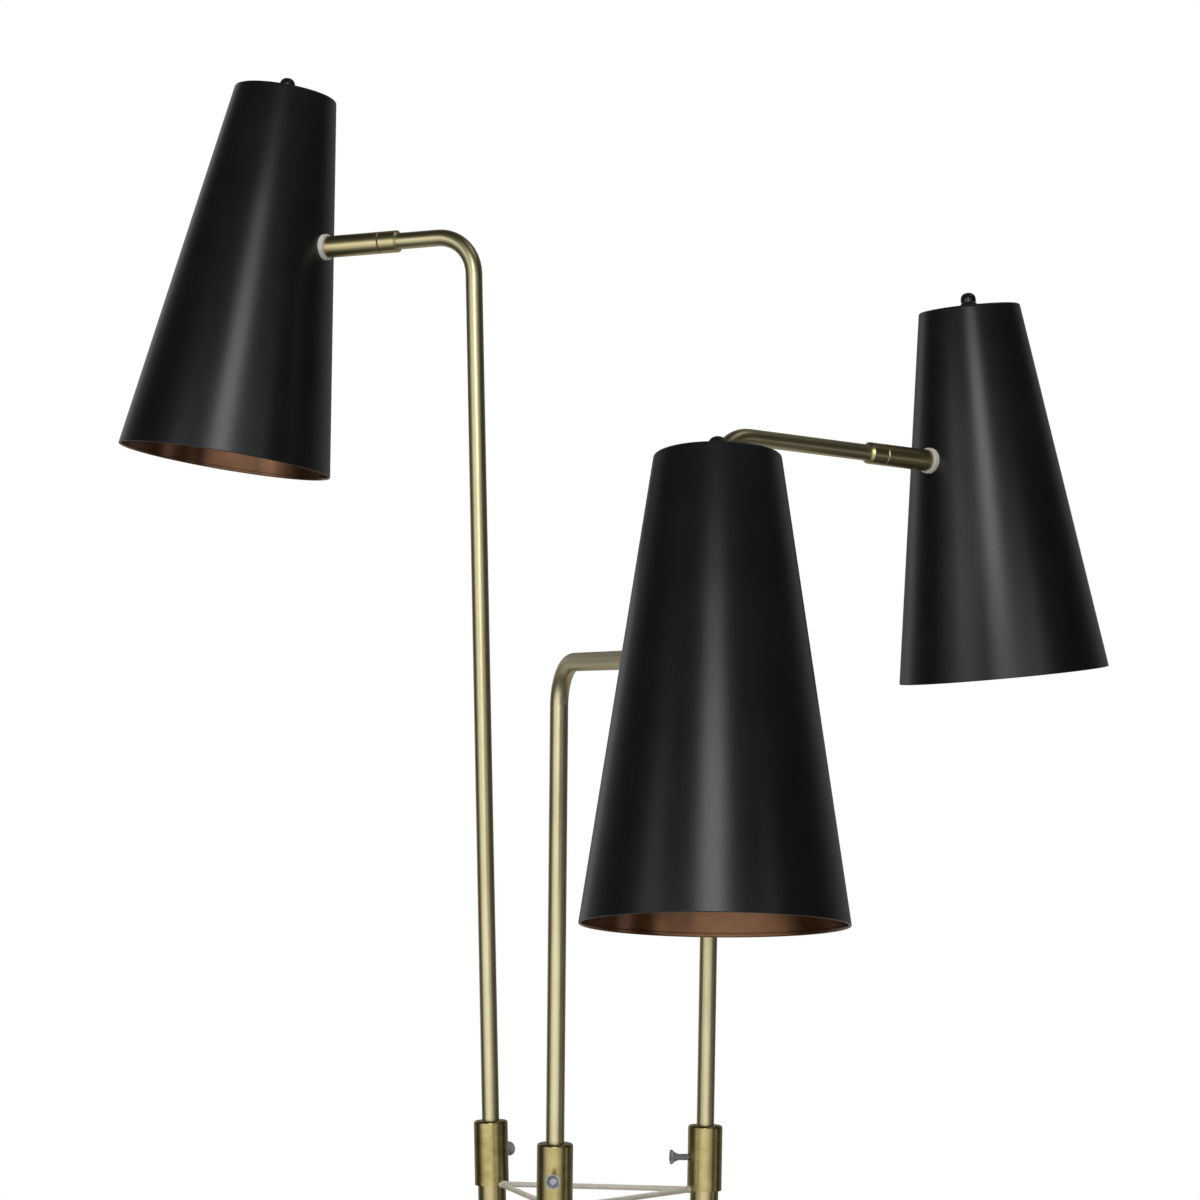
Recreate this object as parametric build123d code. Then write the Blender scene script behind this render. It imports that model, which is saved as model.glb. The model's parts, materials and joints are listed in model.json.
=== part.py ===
from build123d import *
import os
from dataclasses import dataclass
from math import acos, atan, atan2, cos, pi, radians, sin, tan

# Three-light floor lamp: three telescopic brass stems rise from posts on a round weighted base, each
# with a bent arm, a friction swivel and a conical metal shade. Millimetres and degrees, +Z up, origin
# on the floor under the middle of the base. The front is towards -Y, and azimuths run from +X to +Y.

# Fits
slide_play = 0.05  # radial play of what slides or turns
seat_play = 0.05  # radial play of what is fixed in a seat
end_play = 0.2  # axial play of a captive piece
face_play = 0.1  # between faces that turn against each other

# Base
base_diameter = 300
base_height = 24  # floor to the top of the cover
cover_wall = 1.5
cover_edge_radius = 6
skirt_lift = 2  # floor to the lower edge of the cover
weight_play = 0.3  # weight to the inside of the skirt
felt_thickness = 3
felt_margin = 9  # rim of the cover to the edge of the felt
wiring_pocket_diameter = 76
wiring_pocket_roof = 6  # iron left above the wiring pocket
lead_groove_width = 9
lead_groove_depth = 8
terminal_length = 36
terminal_width = 20
terminal_height = 9
terminal_post_diameter = 7
terminal_post_height = 3
terminal_ways = 3

# Cord inlet at the back of the base
gland_height = 10  # floor to the middle of the inlet
gland_bore_diameter = 7.2
gland_neck_diameter = 11
gland_flange_diameter = 14
gland_flange_thickness = 2

# Posts
post_diameter = 20.5
post_wall = 1.5
post_circle_radius = 93  # at the collar tops
post_turn = -12  # the front post from -Y
post_splay = 1.4  # each post leans this much towards its arm
collar_top_height = 801
foot_plug_length = 25
nipple_diameter = 10
nipple_bore = 6
nipple_play = 0.4
nut_across_flats = 17
nut_thickness = 6
nut_recess_play = 2
nipple_end_lift = 2.5  # above the felt

# Collars and thumbscrews
collar_diameter = 25
collar_length = 47
collar_guide_length = 30  # bored for the stem, the rest holds the post
collar_edge_radius = 2
screw_diameter = 5
screw_drop = 23.2  # below the collar top
screw_reach = 13  # out of the collar
screw_head_diameter = 10.7
screw_head_length = 6.5
screw_rim = 1
screw_dish_depth = 1.2
screw_tip_gap = 0.3

# Wire triangle that spaces the posts
wire_diameter = 4
wire_corner_radius = 6
wire_lift = 1  # lower end of the collars to the middle of the wire

# Stems
stem_diameter = 12.7
stem_wall = 1.2
stem_tail = 180  # of the highest stem, below the collar top
bend_radius = 30
bush_length = 25
bead_height = 2.5
bead_lip = 1.4
foot_height = 2
foot_lip = 1.7

# Friction swivel between arm and shade
barrel_diameter = 16.8
barrel_length = 46
swivel_collar_length = 15
swivel_chamfer = 1.5
barrel_edge = 0.4
friction_washer_thickness = 0.8
friction_washer_inset = 0.5
pin_diameter = 8
pin_bore = 4.5
pin_head_diameter = 13
pin_head_length = 4
barrel_web = 6
barrel_cavity_diameter = 14.4
barrel_end_wall = 12
stem_socket_depth = 10
spigot_diameter = 10
spigot_bore = 7
spigot_length = 9
shade_washer_diameter = 20
shade_washer_thickness = 3
shade_nut_across_flats = 14
shade_nut_flange_diameter = 19
shade_nut_flange_thickness = 2.4
shade_nut_length = 7

# Shades
shade_mouth_diameter = 165
shade_top_diameter = 79.6
shade_height = 291.2
shade_wall = 1.0
shade_edge_radius = 2
shade_barrel_drop = 118.2  # top of the shade to the swivel's axis, along the shade's axis
hole_play = 0.3

# Lampholder, bulb and rotary switch under the top of the shade
holder_diameter = 39
holder_length = 50
holder_shoulder = 7
holder_waist_diameter = 33
holder_waist_length = 18
holder_bush_diameter = 10
holder_bush_rise = 4.4  # above the shade
socket_diameter = 27
socket_depth = 30
switch_nut_diameter = 15
switch_nut_top_diameter = 12
switch_nut_thickness = 4.2
switch_nut_land = 1  # upright edge below its cone
knob_diameter = 12
knob_height = 7.6
knob_crown_radius = 5.2
knob_gap = 0.4
knob_shaft_diameter = 4
knob_shaft_length = 20
bulb_cap_diameter = 26
bulb_cap_length = 25
bulb_contact_diameter = 9
bulb_contact_height = 2.5
bulb_diameter = 60
bulb_length = 106  # contact to the end of the glass
bulb_neck_diameter = 23
bulb_neck_length = 12  # cap to the start of the globe's cone
bulb_neck_blend = 20
bulb_neck_overlap = 6  # neck held inside the cap
bulb_glass_thickness = 1

# The three lights as they are set: height of the bend's corner above the collar top, reach from that
# corner to the shade's wall, rise of the arm from square to the stem, turn of the shade about the arm
left_corner_height = 661.1
left_arm_reach = 127.4
left_arm_azimuth = 156
left_arm_rise = 1.2
left_shade_turn = -3.9
left_screw_azimuth = 60
front_corner_height = 331.9
front_arm_reach = 220
front_arm_azimuth = -69
front_arm_rise = 0
front_shade_turn = 3.5
front_screw_azimuth = -92
right_corner_height = 507.3
right_arm_reach = 212.3
right_arm_azimuth = 36.5
right_arm_rise = -0.6
right_shade_turn = 0.5
right_screw_azimuth = 190

# Worked out from the sizes above
post_spacing_angle = 360 / 3
weight_top = base_height - cover_wall
stem_length = stem_tail + max(left_corner_height, front_corner_height, right_corner_height)
stem_radius = stem_diameter / 2
post_bore = post_diameter - 2 * post_wall
shade_taper = atan((shade_mouth_diameter - shade_top_diameter) / 2 / shade_height)
shade_wall_across = shade_wall / cos(shade_taper)
shade_barrel_radius = shade_top_diameter / 2 + shade_barrel_drop * tan(shade_taper)
barrel_seam = shade_washer_thickness + barrel_length
swivel_collar_start = barrel_seam + face_play + friction_washer_thickness
stem_end = swivel_collar_start + swivel_collar_length - stem_socket_depth


@dataclass
class Light:
    """One of the three lights, with the frames that its pieces are made in."""

    name: str
    post_azimuth: float
    corner_height: float
    arm_reach: float
    arm_azimuth: float
    arm_rise: float
    shade_turn: float
    screw_azimuth: float

    @property
    def tail(self):
        """Length of the stem below the collar top."""
        return stem_length - self.corner_height

    @property
    def post(self):
        """On the post's axis at the collar top, Z up the post and X out along the arm."""
        around, arm, lean = radians(self.post_azimuth), radians(self.arm_azimuth), radians(post_splay)
        top = (post_circle_radius * cos(around), post_circle_radius * sin(around), collar_top_height)
        out = (cos(lean) * cos(arm), cos(lean) * sin(arm), -sin(lean))
        up = (sin(lean) * cos(arm), sin(lean) * sin(arm), cos(lean))
        return Plane(origin=top, x_dir=out, z_dir=up).location

    @property
    def screw(self):
        """On the post's axis at the thumbscrew, Z out along the screw."""
        return self.post * Rot(Z=self.screw_azimuth - self.arm_azimuth) * Pos(Z=-screw_drop) * Rot(Y=90)

    @property
    def arm_direction(self):
        """Direction of the arm in the post's frame."""
        return Vector(cos(radians(self.arm_rise)), 0, sin(radians(self.arm_rise)))

    @property
    def swivel(self):
        """Where the arm's axis meets the shade's wall, Z back along the arm and X up the wall."""
        along = self.arm_direction
        meeting = Vector(0, 0, self.corner_height) + along * self.arm_reach
        wall = Plane(origin=meeting, x_dir=(-along.Z, 0, along.X), z_dir=-along).location
        return self.post * wall * Rot(Z=self.shade_turn)

    @property
    def shade(self):
        """Middle of the shade's top, Z up the shade's axis and X towards the swivel."""
        return self.swivel * shade_in_swivel


lights = (
    Light("left", 150 + post_turn, left_corner_height, left_arm_reach, left_arm_azimuth,
          left_arm_rise, left_shade_turn, left_screw_azimuth),
    Light("front", 150 + post_turn + post_spacing_angle, front_corner_height, front_arm_reach,
          front_arm_azimuth, front_arm_rise, front_shade_turn, front_screw_azimuth),
    Light("right", 150 + post_turn - post_spacing_angle, right_corner_height, right_arm_reach,
          right_arm_azimuth, right_arm_rise, right_shade_turn, right_screw_azimuth),
)

# The barrel is square to the shade's slanting wall
shade_in_swivel = Plane(
    origin=(
        shade_barrel_radius * sin(shade_taper) + shade_barrel_drop * cos(shade_taper),
        0,
        shade_barrel_drop * sin(shade_taper) - shade_barrel_radius * cos(shade_taper),
    ),
    x_dir=(-sin(shade_taper), 0, cos(shade_taper)),
    z_dir=(cos(shade_taper), 0, sin(shade_taper)),
).location


def turned(*corners):
    """Solid of revolution about Z, from corners (radius, height) or (radius, height, rounding)."""
    points = [corner[:2] for corner in corners]
    rounds = [corner[2] if len(corner) > 2 else 0 for corner in corners]
    return revolve(Plane.XZ * make_face(FilletPolyline(*points, radius=rounds, close=True)), Axis.Z)


def disc(diameter, low, high):
    """Plain round bar on Z between two heights."""
    return Pos(Z=low) * Cylinder(diameter / 2, high - low, align=(Align.CENTER, Align.CENTER, Align.MIN))


def hexagon(across_flats, low, high):
    """Hexagonal bar on Z between two heights."""
    outline = RegularPolygon(across_flats / 2, 6, major_radius=False)
    return Pos(Z=low) * extrude(outline, high - low)


def swept(path, diameter):
    """Round bar along a path."""
    return sweep(Plane(origin=path @ 0, z_dir=path % 0) * Circle(diameter / 2), path)


def depth_along_post(height):
    """Distance from the collar top to a level plane at this height, down the leaning post."""
    return (collar_top_height - height) / cos(radians(post_splay))


# Base

def make_base_cover():
    """Spun cover: flat top, rounded edge and skirt, with holes for the posts' nipples and the gland."""
    rim, inner = base_diameter / 2, base_diameter / 2 - cover_wall
    cover = turned(
        (0, base_height), (rim, base_height, cover_edge_radius), (rim, skirt_lift),
        (inner, skirt_lift), (inner, weight_top, cover_edge_radius - cover_wall), (0, weight_top),
    )
    for light in lights:
        cover -= light.post * nipple_hole()
    inlet = disc(gland_neck_diameter + 2 * seat_play, 0, base_diameter)
    return cover - Pos(Z=gland_height) * Rot(X=-90) * inlet


def nipple_hole():
    """Clearance for a post's nipple through the cover and the weight, in the post's frame."""
    return disc(nipple_diameter + 2 * nipple_play, -depth_along_post(0), -depth_along_post(2 * base_height))


def nut_seat_depth():
    """Where the base nuts bear on the weight, down the post's axis."""
    return depth_along_post(felt_thickness + nipple_end_lift) - nut_thickness


def make_base_weight():
    """Cast disc with a wiring pocket, grooves for the leads and recesses for the base nuts."""
    radius = base_diameter / 2 - cover_wall - weight_play
    weight = turned(
        (0, weight_top), (radius, weight_top, cover_edge_radius - cover_wall),
        (radius, felt_thickness), (0, felt_thickness),
    )
    weight -= disc(wiring_pocket_diameter, 0, weight_top - wiring_pocket_roof)
    recess = nut_across_flats / cos(radians(30)) + nut_recess_play
    low, groove_top = Align.MIN, felt_thickness + lead_groove_depth
    for light in lights:
        weight -= light.post * nipple_hole()
        weight -= light.post * disc(recess, -depth_along_post(0), -nut_seat_depth())
        foot = (light.post * Pos(Z=-nut_seat_depth())).position
        run = Vector(foot.X, foot.Y)
        groove = Box(run.length, lead_groove_width, groove_top, align=(low, Align.CENTER, low))
        weight -= Rot(Z=Vector(1, 0, 0).get_signed_angle(run, Vector(0, 0, 1))) * groove
    channel_width = gland_flange_diameter + 2 * nipple_play
    channel_top = gland_height + channel_width / 2
    return weight - Box(channel_width, radius, channel_top, align=(Align.CENTER, low, low))


def make_base_felt():
    """Felt pad under the weight."""
    return disc(base_diameter - 2 * felt_margin, 0, felt_thickness)


def make_terminal_block():
    """Terminal block in the wiring pocket, with its row of clamp towers pointing down."""
    roof = weight_top - wiring_pocket_roof
    block = Pos(Z=roof - terminal_height / 2) * Box(terminal_length, terminal_width, terminal_height)
    tower = disc(terminal_post_diameter, roof - terminal_height - terminal_post_height, roof)
    pitch_along, pitch_across = terminal_length / terminal_ways, terminal_width / 2
    return block + GridLocations(pitch_along, pitch_across, terminal_ways, 2) * tower


def make_cord_gland():
    """Rubber bush in the skirt: a flange on each side of the wall and a bore for the cord."""
    rim, bore = base_diameter / 2, gland_bore_diameter / 2
    neck, flange = gland_neck_diameter / 2, gland_flange_diameter / 2
    inside = rim - cover_wall - end_play - gland_flange_thickness
    outside = rim + gland_flange_thickness
    bush = turned(
        (bore, inside), (flange, inside), (flange, inside + gland_flange_thickness),
        (neck, inside + gland_flange_thickness), (neck, rim), (flange, rim),
        (flange, outside, gland_flange_thickness / 2), (bore, outside),
    )
    return Pos(Z=gland_height) * Rot(X=-90) * bush


def make_base_nuts():
    """Hexagon nuts that draw the posts down on the base."""
    seat = nut_seat_depth()
    nut = hexagon(nut_across_flats, -seat - nut_thickness, -seat)
    nut -= disc(nipple_diameter + 2 * seat_play, -2 * seat, 0)
    return Compound(children=[light.post * nut for light in lights])


# Posts, collars and wire

def make_post(light):
    """Lower tube with its foot plug and hollow nipple, cut level where it stands on the cover."""
    foot = depth_along_post(base_height)
    tube = disc(post_diameter, -foot - post_diameter, -collar_guide_length)
    tube -= disc(post_bore, -foot + foot_plug_length, 0)
    under_cover = disc(base_diameter, base_height - 2 * post_diameter, base_height)
    nipple_end = depth_along_post(felt_thickness + nipple_end_lift)
    nipple = disc(nipple_diameter, -nipple_end, foot_plug_length - foot)
    post = light.post * tube - under_cover + light.post * nipple
    return post - light.post * disc(nipple_bore, -2 * foot, 0)


def make_collar(light):
    """Sleeve on top of the post: guides the stem above, holds the post below, tapped for the screw."""
    outer, guide = collar_diameter / 2, stem_radius + slide_play
    holder = post_diameter / 2 + seat_play
    sleeve = turned(
        (guide, 0), (outer, 0, collar_edge_radius), (outer, -collar_length), (holder, -collar_length),
        (holder, -collar_guide_length), (guide, -collar_guide_length),
    )
    return light.post * sleeve - light.screw * disc(screw_diameter + 2 * slide_play, 0, collar_diameter)


def make_thumbscrew(light):
    """Thumbscrew with a trumpet head and a dished end."""
    shank, head = screw_diameter / 2, screw_head_diameter / 2
    tip = stem_radius + screw_tip_gap
    end = collar_diameter / 2 + screw_reach
    flare = end - screw_head_length
    return light.screw * turned(
        (0, tip), (shank, tip), (shank, flare + shank, screw_head_length), (head, end - screw_rim),
        (head, end), (head - screw_rim, end), (0, end - screw_dish_depth),
    )


def make_spreader():
    """Wire triangle with rounded corners, each held against the inner side of a collar's lower end."""
    height = collar_top_height - collar_length + wire_lift
    touching = collar_diameter / 2 + seat_play + wire_diameter / 2
    posts = [(light.post * Pos(Z=-depth_along_post(height))).position for light in lights]
    middle = (posts[0] + posts[1] + posts[2]) / 3
    corners = []
    for post in posts:
        out = post - middle
        corners.append(middle + out.normalized() * (out.length - touching + wire_corner_radius))
    return swept(FilletPolyline(*corners, radius=wire_corner_radius, close=True), wire_diameter)


# Stems

def make_stem(light):
    """Bent tube; a rolled bead and a flared foot at its lower end keep the guide bush in place."""
    corner = Vector(0, 0, light.corner_height)
    end = corner + light.arm_direction * (light.arm_reach - stem_end)
    path = FilletPolyline((0, 0, -light.tail), corner, end, radius=bend_radius)
    bead_low = foot_height + bush_length + 2 * end_play - light.tail
    bead = turned(
        (stem_radius - stem_wall / 2, bead_low), (stem_radius + bead_lip, bead_low),
        (stem_radius + bead_lip, bead_low + bead_height, bead_lip / 2),
        (stem_radius - stem_wall / 2, bead_low + bead_height),
    )
    foot = disc(stem_diameter + 2 * foot_lip, -light.tail, foot_height - light.tail)
    tube = swept(path, stem_diameter) + bead + foot
    return light.post * (tube - swept(path, stem_diameter - 2 * stem_wall))


def make_guide_bush(light):
    """Plastic bush that slides in the post and in which the stem turns."""
    low = foot_height + end_play - light.tail
    outer, inner = post_bore / 2 - slide_play, stem_radius + slide_play
    relief = (outer - inner) / 3
    return light.post * turned(
        (inner, low), (outer - relief, low), (outer, low + relief), (outer, low + bush_length - relief),
        (outer - relief, low + bush_length), (inner, low + bush_length),
    )


# Swivels, in the frame at the shade's wall with Z back along the arm

def make_swivel_collar(light):
    """End piece of the arm, chamfered towards the stem, with a socket for it."""
    outer, socket = barrel_diameter / 2, stem_radius + seat_play
    start, far = swivel_collar_start, swivel_collar_start + swivel_collar_length
    thread = pin_diameter / 2 + seat_play
    return light.swivel * turned(
        (thread, start), (outer - barrel_edge, start), (outer, start + barrel_edge),
        (outer, far - swivel_chamfer), (outer - swivel_chamfer, far), (socket, far),
        (socket, stem_end), (thread, stem_end),
    )


def make_swivel_pin(light):
    """Hollow shoulder screw: its head draws the barrel's web against the friction washer."""
    shank, head, bore = pin_diameter / 2, pin_head_diameter / 2, pin_bore / 2
    under_head = barrel_seam - barrel_web - face_play
    return light.swivel * turned(
        (bore, under_head - pin_head_length), (head, under_head - pin_head_length), (head, under_head),
        (shank, under_head), (shank, stem_end), (bore, stem_end),
    )


def make_friction_washer(light):
    """Fibre washer in the seam of the swivel."""
    start = barrel_seam + face_play
    washer = disc(barrel_diameter - 2 * friction_washer_inset, start, swivel_collar_start)
    return light.swivel * (washer - disc(pin_diameter + 2 * seat_play, 0, stem_end))


def make_swivel_barrel(light):
    """Long half of the swivel: a web for the pin at the seam, a threaded spigot through the shade."""
    outer, web_hole = barrel_diameter / 2, pin_diameter / 2 + slide_play
    cavity, lead, spigot = barrel_cavity_diameter / 2, spigot_bore / 2, spigot_diameter / 2
    start, web = shade_washer_thickness, barrel_seam - barrel_web
    return light.swivel * turned(
        (lead, -spigot_length), (spigot, -spigot_length), (spigot, start), (outer - barrel_edge, start),
        (outer, start + barrel_edge), (outer, barrel_seam - barrel_edge),
        (outer - barrel_edge, barrel_seam), (web_hole, barrel_seam), (web_hole, web), (cavity, web),
        (cavity, start + barrel_end_wall), (lead, start + barrel_end_wall),
    )


def cone(skin):
    """The shade's cone as a solid in its own frame, its wall moved out by skin."""
    grow = skin / cos(shade_taper)
    top, mouth = shade_top_diameter / 2 + grow, shade_mouth_diameter / 2 + grow
    return turned((0, 0), (top, 0), (mouth, -shade_height), (0, -shade_height))


def make_shade_washer(light):
    """Saddle washer between barrel and shade, hollowed to the shade's wall."""
    ring = disc(shade_washer_diameter, -shade_washer_thickness, shade_washer_thickness)
    ring -= disc(spigot_diameter + 2 * seat_play, -shade_washer_thickness, shade_washer_thickness)
    return light.swivel * (ring - shade_in_swivel * cone(seat_play))


def make_shade_nut(light):
    """Flanged nut on the spigot inside the shade, its flange shaped to the wall."""
    flange_end = shade_wall + shade_nut_flange_thickness
    flange = disc(shade_nut_flange_diameter, -flange_end, 0)
    nut = flange + hexagon(shade_nut_across_flats, -shade_wall - shade_nut_length, -flange_end)
    nut -= disc(spigot_diameter + 2 * seat_play, -2 * spigot_length, spigot_length)
    return light.swivel * (nut & shade_in_swivel * cone(-shade_wall - seat_play))


# Shades and what they carry, in the frame at the top of the shade with Z up its axis

def make_shade(light):
    """Spun cone with a flat closed top, open at the mouth, drilled for the switch and the spigot."""
    top, mouth = shade_top_diameter / 2, shade_mouth_diameter / 2
    hole = holder_bush_diameter / 2 + hole_play
    inner_top = top + shade_wall * tan(shade_taper) - shade_wall_across
    shell = turned(
        (hole, 0), (top, 0, shade_edge_radius), (mouth, -shade_height),
        (mouth - shade_wall_across, -shade_height),
        (inner_top, -shade_wall, shade_edge_radius - shade_wall), (hole, -shade_wall),
    )
    side_hole = disc(spigot_diameter + 2 * hole_play, -2 * spigot_length, spigot_length)
    return light.shade * shell - light.swivel * side_hole


def make_lampholder(light):
    """Lampholder with a stepped body, a threaded bush through the shade and a socket below."""
    bush, bore = holder_bush_diameter / 2, knob_shaft_diameter / 2 + slide_play
    waist, body, socket = holder_waist_diameter / 2, holder_diameter / 2, socket_diameter / 2
    top, foot = -shade_wall, -shade_wall - holder_length
    step = top - holder_waist_length
    return light.shade * turned(
        (bore, holder_bush_rise), (bush, holder_bush_rise), (bush, top), (waist, top, holder_shoulder),
        (waist, step), (body, step - (body - waist)), (body, foot), (socket, foot),
        (socket, foot + socket_depth), (bore, foot + socket_depth),
    )


def make_switch_nut(light):
    """Conical nut that clamps the lampholder's bush on the shade."""
    bore, outer = holder_bush_diameter / 2 + seat_play, switch_nut_diameter / 2
    return light.shade * turned(
        (bore, 0), (outer, 0), (outer, switch_nut_land),
        (switch_nut_top_diameter / 2, switch_nut_thickness), (bore, switch_nut_thickness),
    )


def make_switch_knob(light):
    """Domed knob with its shaft down the lampholder's bush."""
    base, shaft = holder_bush_rise + knob_gap, knob_shaft_diameter / 2
    top, grip = base + knob_height, knob_diameter / 2
    return light.shade * turned(
        (0, base - knob_shaft_length), (shaft, base - knob_shaft_length), (shaft, base), (grip, base),
        (grip, top, knob_crown_radius), (0, top),
    )


def bulb_contact_level():
    """Height of the bulb's contact, against the bottom of the socket."""
    return -shade_wall - holder_length + socket_depth - end_play


def make_bulb_cap(light):
    """Screw cap of the bulb, drawn in to its contact and open towards the glass."""
    tip = bulb_contact_level()
    contact, outer = bulb_contact_diameter / 2, bulb_cap_diameter / 2
    neck = bulb_neck_diameter / 2 + seat_play
    shoulder = tip - bulb_contact_height
    mouth = shoulder - bulb_cap_length
    return light.shade * turned(
        (0, tip), (contact, tip), (contact, shoulder), (outer, shoulder - contact), (outer, mouth),
        (neck, mouth), (neck, mouth + bulb_neck_overlap), (0, mouth + bulb_neck_overlap),
    )


def pear(shrink, top):
    """Solid of the bulb's outline drawn in by shrink, with its neck reaching up to top."""
    seat = bulb_contact_level() - bulb_contact_height - bulb_cap_length + bulb_neck_overlap
    waist = seat - bulb_neck_length
    middle = bulb_contact_level() - bulb_length + bulb_diameter / 2
    globe, neck = bulb_diameter / 2 - shrink, bulb_neck_diameter / 2 - shrink
    to_waist = Vector(neck, waist - middle)
    leave = atan2(to_waist.Y, to_waist.X) - acos(globe / to_waist.length)

    def on_globe(angle):
        return (globe * cos(angle), middle + globe * sin(angle))

    bottom = -pi / 2
    side = FilletPolyline(
        (0, top), (neck, top), (neck, waist), on_globe(leave), radius=[0, bulb_neck_blend]
    )
    arc = ThreePointArc(on_globe(leave), on_globe((leave + bottom) / 2), on_globe(bottom))
    return revolve(Plane.XZ * make_face(side + arc + Line(on_globe(bottom), (0, top))), Axis.Z)


def make_bulb_glass(light):
    """Pear-shaped glass, hollow and open at the neck inside the cap."""
    seat = bulb_contact_level() - bulb_contact_height - bulb_cap_length + bulb_neck_overlap
    return light.shade * (pear(0, seat) - pear(bulb_glass_thickness, seat + bulb_neck_overlap))


per_light = {
    "post": make_post,
    "collar": make_collar,
    "thumbscrew": make_thumbscrew,
    "guide_bush": make_guide_bush,
    "stem": make_stem,
    "swivel_collar": make_swivel_collar,
    "swivel_pin": make_swivel_pin,
    "friction_washer": make_friction_washer,
    "swivel_barrel": make_swivel_barrel,
    "shade_washer": make_shade_washer,
    "shade_nut": make_shade_nut,
    "shade": make_shade,
    "lampholder": make_lampholder,
    "switch_nut": make_switch_nut,
    "switch_knob": make_switch_knob,
    "bulb_cap": make_bulb_cap,
    "bulb_glass": make_bulb_glass,
}
pieces = {
    "base_cover": make_base_cover(),
    "base_weight": make_base_weight(),
    "base_felt": make_base_felt(),
    "base_nuts": make_base_nuts(),
    "terminal_block": make_terminal_block(),
    "cord_gland": make_cord_gland(),
    "spreader": make_spreader(),
}
for light in lights:
    for piece, make in per_light.items():
        pieces[f"{piece}_{light.name}"] = make(light)

os.makedirs("parts", exist_ok=True)
for name, solid in pieces.items():
    export_step(solid, f"parts/{name}.step")
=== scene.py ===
"""Looks of a three-light floor lamp: its finishes, spun shades, fine turned pieces and a plain studio.

Everything is in metres in the lamp's own frame, +Z up, with the front towards -Y. The pieces are modelled
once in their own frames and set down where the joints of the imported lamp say.
"""

from __future__ import annotations

import json
import logging
import math
from dataclasses import dataclass
from enum import Enum
from typing import Any, Callable, Sequence

import bmesh
import bpy
from mathutils import Matrix, Vector

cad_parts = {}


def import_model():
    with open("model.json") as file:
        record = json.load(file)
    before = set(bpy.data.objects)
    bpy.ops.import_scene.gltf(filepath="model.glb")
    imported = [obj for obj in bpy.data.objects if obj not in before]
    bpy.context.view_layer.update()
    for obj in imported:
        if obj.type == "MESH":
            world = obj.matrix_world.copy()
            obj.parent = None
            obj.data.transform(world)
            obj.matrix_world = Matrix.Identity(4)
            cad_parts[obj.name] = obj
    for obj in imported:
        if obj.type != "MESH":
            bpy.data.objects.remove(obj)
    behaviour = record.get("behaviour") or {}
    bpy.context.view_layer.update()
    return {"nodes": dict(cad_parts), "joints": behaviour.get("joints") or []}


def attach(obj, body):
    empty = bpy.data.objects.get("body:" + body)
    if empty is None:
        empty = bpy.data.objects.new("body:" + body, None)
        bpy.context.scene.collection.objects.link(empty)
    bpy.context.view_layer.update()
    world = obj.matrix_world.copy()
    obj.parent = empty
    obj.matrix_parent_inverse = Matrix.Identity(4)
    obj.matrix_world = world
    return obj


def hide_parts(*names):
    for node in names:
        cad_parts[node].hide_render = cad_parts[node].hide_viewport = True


LOG = logging.getLogger("floor_lamp")
MM = 0.001
UP = Vector((0.0, 0.0, 1.0))
# Points nearer than NEAR are the same point. Turned pieces have finer steps and are welded at less.
NEAR = MM / 100
WELD = MM / 1000
OWN_PLACE = "own_place"


class Side(Enum):
    """The three lights by where they stand in the photograph."""

    LEFT = "left"
    FRONT = "front"
    RIGHT = "right"


class Grid(Enum):
    """What a pattern is laid out on."""

    LAMP = "the lamp's frame"
    PIECE = "the piece's own frame before it was set down"


class Pull(Enum):
    """How a pattern is drawn out."""

    EVEN = (1.0, 1.0, 1.0)
    UPRIGHT = (1.0, 1.0, 0.04)
    TURNED = (0.04, 0.04, 1.0)


class Boolean(Enum):
    """What a tool does to a piece."""

    CUT = "DIFFERENCE"
    FUSE = "UNION"


# Colours and nodes


def linear(colour: str) -> tuple[float, float, float, float]:
    """Turns an sRGB hex colour to linear.

    Args:
        colour: six hex digits after a number sign.

    Returns:
        Red, green, blue and a full alpha.
    """
    channels = [int(colour[i : i + 2], 16) / 255 for i in (1, 3, 5)]
    red, green, blue = [c / 12.92 if c <= 0.04045 else ((c + 0.055) / 1.055) ** 2.4 for c in channels]
    return red, green, blue, 1.0


def add_node(
    tree: bpy.types.NodeTree, kind: str, inputs: dict[str | int, Any] | None = None, **settings: Any
) -> bpy.types.Node:
    """Adds a node with its settings and links.

    Args:
        tree: the node tree that gets it.
        kind: Blender's name of the node type.
        inputs: what goes into its sockets, by name or number; an output socket is linked, a value is set.
        settings: properties of the node.

    Returns:
        The new node.
    """
    node = tree.nodes.new(kind)
    for key, value in settings.items():
        setattr(node, key, value)
    for key, value in (inputs or {}).items():
        if isinstance(value, bpy.types.NodeSocket):
            tree.links.new(value, node.inputs[key])
        else:
            node.inputs[key].default_value = value
    return node


# Finishes


@dataclass(frozen=True)
class Pattern:
    """A noise with lumps of a real size, drawn out by pull, that can stand up from a surface."""

    size_mm: float
    height_mm: float = 0.0
    pull: Pull = Pull.EVEN
    detail: float = 3.0
    roughness: float = 0.55

    def lay_out(self, tree: bpy.types.NodeTree, place: bpy.types.NodeSocket) -> bpy.types.NodeSocket:
        """Adds the pattern to a material.

        Args:
            tree: the material's nodes.
            place: coordinates in metres.

        Returns:
            The pattern, from 0 to 1.
        """
        drawn = add_node(tree, "ShaderNodeMapping", {"Vector": place, "Scale": self.pull.value})
        inputs = {
            "Vector": drawn.outputs["Vector"],
            "Scale": 1 / (self.size_mm * MM),
            "Detail": self.detail,
            "Roughness": self.roughness,
        }
        return add_node(tree, "ShaderNodeTexNoise", inputs).outputs["Fac"]


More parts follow.
